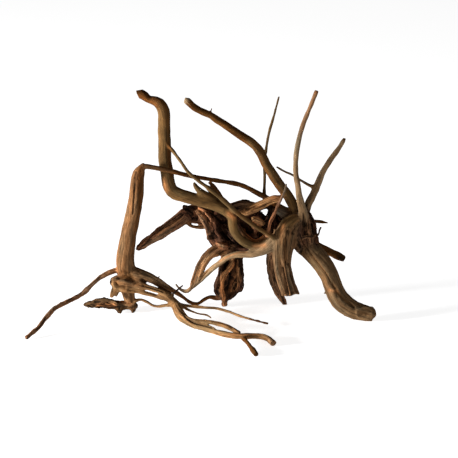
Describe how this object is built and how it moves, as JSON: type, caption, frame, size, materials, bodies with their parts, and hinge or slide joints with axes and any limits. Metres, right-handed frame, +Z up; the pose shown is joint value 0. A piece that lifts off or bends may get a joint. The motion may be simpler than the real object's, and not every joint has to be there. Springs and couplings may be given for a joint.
{
  "type": "spiderwood root",
  "caption": "Natural spiderwood root: a dark gnarled crown with branching limbs, thin twigs and a thick leg, joined to a side knot with an upright broken stem and long low roots.",
  "frame": {"origin": "middle of the piece's box, on the ground that its toes stand on", "axes": "+X along the longest side, towards the thick leg; +Y away from the low front roots, to the back; +Z up"},
  "size_m": [0.3456, 0.144, 0.2325],
  "materials": {
    "wood": "matte, peeled and weathered, dark where it is decayed"
  },
  "bodies": {
    "root": {"spiderwood_root": "wood"}
  },
  "joints": []
}
